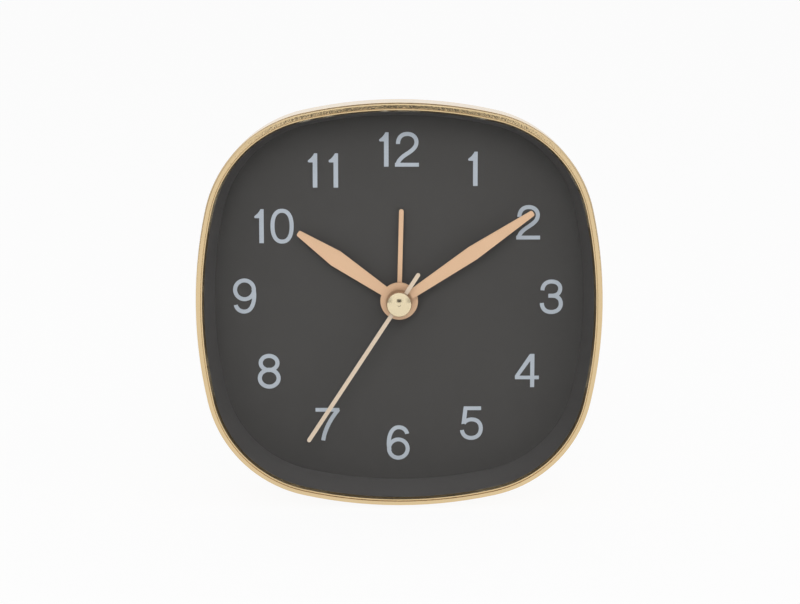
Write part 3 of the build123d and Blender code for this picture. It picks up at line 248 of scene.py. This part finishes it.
def clear_pane(name):
    """A thin clear pane: it passes light straight through, and its outside mirrors at a slant."""
    made, tree = new_material(name)
    tree.nodes.remove(tree.nodes["Principled BSDF"])
    through = tree.nodes.new("ShaderNodeBsdfTransparent")
    through.inputs["Color"].default_value = (*LENS_TINT, 1)
    mirror = tree.nodes.new("ShaderNodeBsdfGlossy")
    mirror.inputs["Roughness"].default_value = LENS_ROUGHNESS
    slant = tree.nodes.new("ShaderNodeLayerWeight")
    steep = combine(tree, "POWER", slant.outputs["Facing"], LENS_SLANT_POWER)
    side = tree.nodes.new("ShaderNodeNewGeometry")
    outside = combine(tree, "SUBTRACT", steep, side.outputs["Backfacing"], clamp=True)
    show_mix(tree, outside, through.outputs["BSDF"], mirror.outputs["BSDF"])
    return made


def glowing_floor(name):
    """A pale matt surface that also glows where it is seen, so that it stays white."""
    made, tree = new_material(name)
    matt = tree.nodes["Principled BSDF"]
    matt.inputs["Base Color"].default_value = (*FLOOR_COLOR, 1)
    matt.inputs["Roughness"].default_value = FLOOR_ROUGHNESS
    matt.inputs["Specular IOR Level"].default_value = 0
    share = combine(tree, "MULTIPLY", seen_by_eye(tree), FLOOR_GLOW)
    glow = tree.nodes.new("ShaderNodeEmission")
    glow.inputs["Color"].default_value = WHITE
    show_mix(tree, share, matt.outputs["BSDF"], glow.outputs["Emission"])
    return made


def fading_cloth(name):
    """A half-clear grey cloth that fades out upwards and to its ends."""
    made = finish(name, FLAG_COLOR, roughness=(0.8, 0.9))
    tree = made.node_tree
    place = tree.nodes.new("ShaderNodeTexCoord")
    parts = tree.nodes.new("ShaderNodeSeparateXYZ")
    tree.links.new(place.outputs["Object"], parts.inputs["Vector"])
    cover = FLAG_COVER
    for axis, clear_at, full_at in (("Z", FLAG_TOP, 0), ("Y", *FLAG_NEAR), ("Y", *FLAG_FAR)):
        fade = tree.nodes.new("ShaderNodeMapRange")
        fade.interpolation_type = "SMOOTHSTEP"
        fade.inputs["From Min"].default_value = clear_at
        fade.inputs["From Max"].default_value = full_at
        tree.links.new(parts.outputs[axis], fade.inputs["Value"])
        cover = combine(tree, "MULTIPLY", cover, fade.outputs["Result"])
    clear = tree.nodes.new("ShaderNodeBsdfTransparent")
    show_mix(tree, cover, clear.outputs["BSDF"], tree.nodes["Principled BSDF"].outputs["BSDF"])
    return made


def tone_by_radius(made, axis, radii, color):
    """Paints shade: blends in a colour from the first radius round an axis to the second, in millimetres.
    """
    tree = made.node_tree
    shader = tree.nodes["Principled BSDF"]
    tone = shader.inputs["Base Color"].links[0].from_socket
    place = tree.nodes.new("ShaderNodeTexCoord")
    offset = tree.nodes.new("ShaderNodeVectorMath")
    offset.operation = "SUBTRACT"
    offset.inputs[1].default_value = axis
    tree.links.new(place.outputs["Object"], offset.inputs[0])
    across = tree.nodes.new("ShaderNodeVectorMath")
    across.operation = "MULTIPLY"
    across.inputs[1].default_value = WITHOUT_DEPTH
    tree.links.new(offset.outputs["Vector"], across.inputs[0])
    radius = tree.nodes.new("ShaderNodeVectorMath")
    radius.operation = "LENGTH"
    tree.links.new(across.outputs["Vector"], radius.inputs[0])
    share = tree.nodes.new("ShaderNodeMapRange")
    share.inputs["From Min"].default_value = radii[0] * MM
    share.inputs["From Max"].default_value = radii[1] * MM
    tree.links.new(radius.outputs["Value"], share.inputs["Value"])
    mix = tree.nodes.new("ShaderNodeMix")
    mix.data_type = "RGBA"
    tree.links.new(share.outputs["Result"], mix.inputs["Factor"])
    tree.links.new(tone, mix.inputs[MIX_FIRST])
    mix.inputs[MIX_SECOND].default_value = (*color, 1)
    tree.links.new(mix.outputs[MIX_RESULT], shader.inputs["Base Color"])


# Materials by the record's slots
finishes = {
    "gold_case": finish(
        "gold_case", (0.725, 0.56, 0.345), metallic=1,
        roughness=(0.17, 0.24), tone=0.02, patch=25, grain=0.3, bump=0.03,
    ),
    "gold_bezel": finish(
        "gold_bezel", (0.725, 0.555, 0.325), metallic=1,
        roughness=(0.07, 0.13), tone=0.02, patch=20, grain=0.35, bump=0.12,
    ),
    "lens": clear_pane("lens_clear"),
    "dial_black": finish(
        "dial_charcoal", (0.0628, 0.0596, 0.0575), metallic=0,
        roughness=(0.62, 0.72), tone=0.03, patch=30, grain=0.8, bump=0, specular=0.2,
    ),
    "hand_gold": finish("hand_lacquer", HAND_COLOR, **LACQUER),
    "cap_brass": finish(
        "cap_brass", (0.86, 0.72, 0.49), metallic=1,
        roughness=(0.12, 0.16), tone=0.02, patch=3, grain=0.2, bump=0.01,
    ),
    "rear_black": finish(
        "rear_black", (0.028, 0.028, 0.03), metallic=0,
        roughness=(0.55, 0.7), tone=0.06, patch=15, grain=0.35, bump=0.25,
    ),
    "knob_black": finish(
        "knob_black", (0.035, 0.035, 0.037), metallic=0,
        roughness=(0.38, 0.48), tone=0.05, patch=6, grain=0.3, bump=0.1,
    ),
    "plate_plastic": finish(
        "plate_plastic", (0.16, 0.16, 0.17), metallic=0,
        roughness=(0.45, 0.6), tone=0.05, patch=10, grain=0.3, bump=0.12,
    ),
    "wheel_plastic": finish(
        "wheel_plastic", (0.78, 0.76, 0.70), metallic=0,
        roughness=(0.35, 0.45), tone=0.03, patch=6, grain=0.25, bump=0.05,
    ),
    "steel": finish(
        "steel", (0.62, 0.62, 0.63), metallic=1,
        roughness=(0.22, 0.34), tone=0.03, patch=4, grain=0.12, bump=0.05,
    ),
    "spring_brass": finish(
        "spring_brass", (0.75, 0.60, 0.32), metallic=1,
        roughness=(0.22, 0.34), tone=0.05, patch=4, grain=0.12, bump=0.05,
    ),
    "copper_wire": finish(
        "copper_wire", (0.62, 0.26, 0.12), metallic=1,
        roughness=(0.28, 0.4), tone=0.08, patch=1.5, grain=0.15, bump=0.3,
    ),
    "bobbin_plastic": finish(
        "bobbin_plastic", (0.10, 0.10, 0.11), metallic=0,
        roughness=(0.45, 0.55), tone=0.05, patch=5, grain=0.3, bump=0.1,
    ),
    "board_green": finish(
        "board_green", (0.04, 0.18, 0.08), metallic=0,
        roughness=(0.3, 0.4), tone=0.1, patch=3, grain=0.2, bump=0.05,
    ),
    "chip_black": finish(
        "chip_black", (0.02, 0.02, 0.02), metallic=0,
        roughness=(0.5, 0.6), tone=0.05, patch=3, grain=0.15, bump=0.15,
    ),
    "buzzer_black": finish(
        "buzzer_black", (0.03, 0.03, 0.03), metallic=0,
        roughness=(0.4, 0.5), tone=0.05, patch=4, grain=0.2, bump=0.1,
    ),
    "battery_jacket": finish(
        "battery_jacket", (0.12, 0.13, 0.15), metallic=0.3,
        roughness=(0.3, 0.4), tone=0.05, patch=12, grain=0.2, bump=0.02,
    ),
    "pad_rubber": finish(
        "pad_rubber", (0.045, 0.045, 0.045), metallic=0,
        roughness=(0.75, 0.85), tone=0.08, patch=6, grain=0.4, bump=0.3,
    ),
}

# Pieces that look different from the others of their slot
own_finishes = {
    "dial_ring": finish(
        "dial_wall", (0.113, 0.108, 0.106), metallic=0,
        roughness=(0.5, 0.6), tone=0.03, patch=30, grain=0.8, bump=0, specular=0.25,
    ),
    "minute_hand": finish("minute_lacquer", HAND_COLOR, **LACQUER),
    "second_hand": finish("second_lacquer", (0.70, 0.562, 0.432), **LACQUER),
}

# Painted shade: the cap's rim is darkened into an outline, and the minute hand's hub behind the cap is
# darkened where shade falls round the cap
cap_low, cap_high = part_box("hub_cap")
dial_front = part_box("dial")[0].y
centre = Vector(((cap_low.x + cap_high.x) / 2, dial_front, (cap_low.z + cap_high.z) / 2))
# Painted shade: a dark outline at the cap's rim
tone_by_radius(finishes["cap_brass"], centre, CAP_RIM_SHADE, CAP_RIM_SHADE_COLOR)
# Painted shade on the minute hand's hub, where the cap and second hand shade it
tone_by_radius(own_finishes["minute_hand"], centre, MINUTE_HUB_SHADE, MINUTE_HUB_SHADE_COLOR)
for subpart in frame["record"]["subparts"]:
    node = subpart["node"]
    slots = nodes[node].data.materials
    slots.clear()
    slots.append(own_finishes.get(node, finishes[subpart["material_slot"]]))


def oval(middle, radii, power=2):
    """Points once round an oval, whose sides a power above 2 flattens."""
    points = []
    for step in range(OVAL_STEPS + 1):
        angle = 2 * math.pi * step / OVAL_STEPS
        cosine, sine = math.cos(angle), math.sin(angle)
        points.append((
            middle[0] + math.copysign(radii[0] * abs(cosine) ** (2 / power), cosine),
            middle[1] + math.copysign(radii[1] * abs(sine) ** (2 / power), sine),
        ))
    return points


def curve(*handles):
    """Points along a Bezier curve."""
    points = []
    for step in range(CURVE_STEPS + 1):
        share = step / CURVE_STEPS
        level = [Vector(handle) for handle in handles]
        while len(level) > 1:
            level = [a.lerp(b, share) for a, b in zip(level, level[1:])]
        points.append(tuple(level[0]))
    return points


def join(*runs):
    """Runs of points that follow on from each other, without the doubled ends."""
    points = list(runs[0])
    for run in runs[1:]:
        points += run[1:]
    return points


def sides(path, width, closed=False):
    """The two edges of a stroke of even width along a path."""
    count = len(path)
    left, right = [], []
    for index, point in enumerate(path):
        before = path[index - 1] if index or closed else point
        after = path[(index + 1) % count] if index < count - 1 or closed else point
        along = (Vector(after) - Vector(before)).normalized()
        out = Vector((-along.y, along.x)) * width / 2
        left.append(Vector(point) + out)
        right.append(Vector(point) - out)
    return left, right


def stroke(path, width=STROKE):
    """Outline of an open stroke."""
    left, right = sides(path, width)
    return [left + right[::-1]]


def ring(path, width=STROKE):
    """Outline and hole of a closed stroke."""
    return list(sides(path[:-1], width, closed=True))


def outline(*points):
    """Outline through the points given."""
    return [[Vector(point) for point in points]]


def box(left, right, bottom, top):
    """Outline of a rectangle."""
    return outline((left, bottom), (right, bottom), (right, top), (left, top))


def turned(outlines):
    """Outlines turned half round."""
    return [[-point for point in points] for points in outlines]


# Half the height, and how high the middle of the stroke reaches in a round digit and in the 6
half = DIGIT_HEIGHT / 2
crown = half + ROUND_OVERSHOOT - STROKE / 2
tall = half + SIX_OVERSHOOT - STROKE / 2

# Each digit is a list of shapes, a shape an outline and perhaps a hole, about the middle of its box
six = [
    ring(oval((0.0, -1.5), (2.24, 2.25))),
    stroke(join(
        curve((2.1, 2.15), (2.0, 2.95), (1.2, tall), (0.14, tall)),
        curve((0.14, tall), (-1.55, tall), (-2.31, 1.9), (-2.31, -0.3)),
        curve((-2.31, -0.3), (-2.31, -1.0), (-2.2, -1.4), (-2.1, -1.8)),
    )),
]
digits = {
    0: [ring(oval((0.0, 0.0), (2.27, crown), ZERO_POWER))],
    1: [outline(
        (1.1, -half), (1.1, half), (0.36, half), (0.14, half - 0.42), (-0.36, half - 1.06),
        (-1.1, half - 1.68), (-1.13, half - 1.95), (-0.92, half - 2.14), (0.03, half - 2.14), (0.03, -half),
    )],
    2: [
        stroke(join(
            curve((-2.12, 1.3), (-2.12, 2.75), (-1.3, crown), (0.1, crown)),
            curve((0.1, crown), (1.45, crown), (2.24, 2.75), (2.24, 1.75)),
            curve((2.24, 1.75), (2.24, 0.5), (1.2, -0.2), (0.1, -0.95)),
            curve((0.1, -0.95), (-1.2, -1.75), (-2.2, -2.6), (-2.3, -half + 0.05)),
        )),
        box(-DIGIT_HALF_WIDTH, DIGIT_HALF_WIDTH, -half, -half + BAR_STROKE),
    ],
    3: [
        stroke(join(
            curve((-2.15, 1.55), (-2.1, 2.85), (-1.25, crown), (0.0, crown)),
            curve((0.0, crown), (1.3, crown), (2.08, 2.95), (2.08, 1.98)),
            curve((2.08, 1.98), (2.08, 0.9), (1.3, 0.26), (0.2, 0.26)),
            [(0.2, 0.26), (-0.72, 0.26)],
        )),
        stroke(join(
            [(-0.2, 0.26), (0.2, 0.26)],
            curve((0.2, 0.26), (1.5, 0.26), (2.26, -0.55), (2.26, -1.68)),
            curve((2.26, -1.68), (2.26, -2.85), (1.35, -crown), (0.0, -crown)),
            curve((0.0, -crown), (-1.4, -crown), (-2.22, -2.85), (-2.26, -1.5)),
        )),
    ],
    4: [
        box(0.78, 1.76, -half, half),
        box(-2.86, 2.86, -2.12, -1.26),
        outline((-2.86, -1.26), (0.68, half), (1.28, half), (1.28, 3.05), (-1.8, -1.26)),
    ],
    5: [
        box(-1.8, 2.3, half - BAR_STROKE, half),
        outline((-1.86, half), (-0.9, half), (-1.35, -0.12), (-2.4, -0.3)),
        stroke(join(
            curve((-1.85, -0.12), (-1.4, 0.55), (-0.75, 0.86), (0.05, 0.86)),
            curve((0.05, 0.86), (1.45, 0.86), (2.26, -0.05), (2.26, -1.35)),
            curve((2.26, -1.35), (2.26, -2.75), (1.3, -crown), (-0.05, -crown)),
            curve((-0.05, -crown), (-1.35, -crown), (-2.15, -2.85), (-2.26, -1.75)),
        )),
    ],
    6: six,
    7: [
        box(-2.8, 2.9, half - BAR_STROKE - SEVEN_DROP, half - SEVEN_DROP),
        stroke(join(
            [(2.66, half - 0.46), (2.42, half - 0.84)],
            curve((2.42, half - 0.84), (0.9, 1.3), (-0.62, -1.3), (-1.0, -half)),
        ), WIDE_STROKE),
    ],
    8: [
        ring(oval((0.0, 2.02), (2.0, 1.72)), WIDE_STROKE),
        ring(oval((0.0, -1.69), (2.25, 2.05)), WIDE_STROKE),
    ],
    9: [turned(shape) for shape in six],
}


def prism(outlines, name):
    """A thin closed print of one shape, in millimetres."""
    shape = bmesh.new()
    low = [[shape.verts.new((p.x, p.y, -PRINT_SINK)) for p in points] for points in outlines]
    high = [[shape.verts.new((p.x, p.y, PRINT_RISE)) for p in points] for points in outlines]
    for below, above in zip(low, high):
        for index in range(len(below)):
            shape.faces.new((below[index - 1], below[index], above[index], above[index - 1]))
    for level in (low, high):
        if len(level) == 1:
            shape.faces.new(level[0])
        else:
            outer, inner = level
            for index in range(len(outer)):
                shape.faces.new((outer[index - 1], outer[index], inner[index], inner[index - 1]))
    bmesh.ops.recalc_face_normals(shape, faces=shape.faces)
    mesh = bpy.data.meshes.new(name)
    shape.to_mesh(mesh)
    shape.free()
    return link(bpy.data.objects.new(name, mesh))


def fused(shapes, name):
    """One mesh of several shapes that run into each other."""
    first = prism(shapes[0], name)
    for index, outlines in enumerate(shapes[1:]):
        other = prism(outlines, f"{name}_{index}")
        union = first.modifiers.new("union", "BOOLEAN")
        union.operation = "UNION"
        union.solver = "EXACT"
        union.object = other
        graph = bpy.context.evaluated_depsgraph_get()
        joined = bpy.data.meshes.new_from_object(first.evaluated_get(graph))
        first.modifiers.clear()
        first.data = joined
        bpy.data.objects.remove(other)
    mesh = first.data
    bpy.data.objects.remove(first)
    return mesh


# Numerals: printed on the dial, all in one piece
digit_meshes = {digit: fused(shapes, f"digit_{digit}") for digit, shapes in digits.items()}
print_mesh = bmesh.new()
for hour, (middle_u, v) in NUMERAL_PLACES.items():
    figures = [int(figure) for figure in str(hour)]
    half_widths = [ONE_HALF_WIDTH if figure == 1 else DIGIT_HALF_WIDTH for figure in figures]
    gap = DIGIT_GAPS.get(hour, 0)
    start = -sum(half_widths) - gap / 2
    for figure, half_width in zip(figures, half_widths):
        u = middle_u + start + half_width
        start += 2 * half_width + gap
        first_vertex = len(print_mesh.verts)
        print_mesh.from_mesh(digit_meshes[figure])
        print_mesh.verts.ensure_lookup_table()
        for vertex in print_mesh.verts[first_vertex:]:
            x, y, z = vertex.co
            vertex.co = centre + Vector((u + x, -z, v + y)) * MM
numeral_mesh = bpy.data.meshes.new("dial_numerals")
print_mesh.to_mesh(numeral_mesh)
print_mesh.free()
numeral_mesh.materials.append(finish(
    "numeral_ink", (0.432, 0.468, 0.518), metallic=0,
    roughness=(0.5, 0.58), tone=0.02, patch=4, grain=0.4, bump=0, specular=0.3,
))
numerals = link(bpy.data.objects.new("dial_numerals", numeral_mesh))
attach(numerals, "case")

# Floor: a wide pale plane
floor_corners = [(x * FLOOR_HALF, y * FLOOR_HALF, 0) for x, y in ((-1, -1), (1, -1), (1, 1), (-1, 1))]
floor = sheet("floor", floor_corners, glowing_floor("floor_white"))

# World: soft light all round, white to the eye
world = bpy.data.worlds.new("studio")
bpy.context.scene.world = world
world.use_nodes = True
sky = world.node_tree
lighting = sky.nodes["Background"]
lighting.inputs["Color"].default_value = WHITE
lighting.inputs["Strength"].default_value = WORLD_LIGHT
backdrop = sky.nodes.new("ShaderNodeBackground")
backdrop.inputs["Color"].default_value = WHITE
show_mix(
    sky, seen_by_eye(sky), lighting.outputs["Background"], backdrop.outputs["Background"], "World Output",
)


def softbox(name, place, size, power):
    """A square soft lamp that faces the clock and doesn't show in reflections."""
    lamp = bpy.data.lights.new(name, "AREA")
    lamp.size = size
    lamp.energy = power
    obj = link(bpy.data.objects.new(name, lamp))
    obj.location = place
    obj.rotation_euler = (centre - Vector(place)).to_track_quat("-Z", "Y").to_euler()
    obj.visible_glossy = False


softbox("key", KEY_PLACE, KEY_SIZE, KEY_POWER)
softbox("fill", FILL_PLACE, FILL_SIZE, FILL_POWER)

# Camera body: it stands behind the lens and shows only in reflections
body_mesh = bpy.data.meshes.new("camera_body")
body_shape = bmesh.new()
bmesh.ops.create_cube(body_shape, size=1)
bmesh.ops.scale(body_shape, vec=[length * MM for length in CAMERA_BODY], verts=body_shape.verts)
body_shape.to_mesh(body_mesh)
body_shape.free()
camera_body = link(bpy.data.objects.new("camera_body", body_mesh))
camera_body.location = camera.location + (towards_camera * CAMERA_BODY[2] - camera_up * CAMERA_DROP) * MM
camera_body.rotation_euler = camera.rotation_euler
camera_body.visible_camera = False
camera_body.visible_shadow = False
body_mesh.materials.append(finish("camera_black", (0.02, 0.02, 0.02), roughness=(0.6, 0.7)))

# Flags: grey cloths at both sides that show only in reflections
cloth = fading_cloth("flag_grey")
near, far = FLAG_NEAR[0], FLAG_FAR[0]
for name, x in (("flag_left", -FLAG_SIDE), ("flag_right", FLAG_SIDE)):
    flag_corners = [(x, near, 0), (x, far, 0), (x, far, FLAG_TOP), (x, near, FLAG_TOP)]
    flag = sheet(name, flag_corners, cloth)
    flag.visible_camera = False
    flag.visible_diffuse = False
    flag.visible_shadow = False

bpy.context.scene.view_settings.view_transform = "Standard"
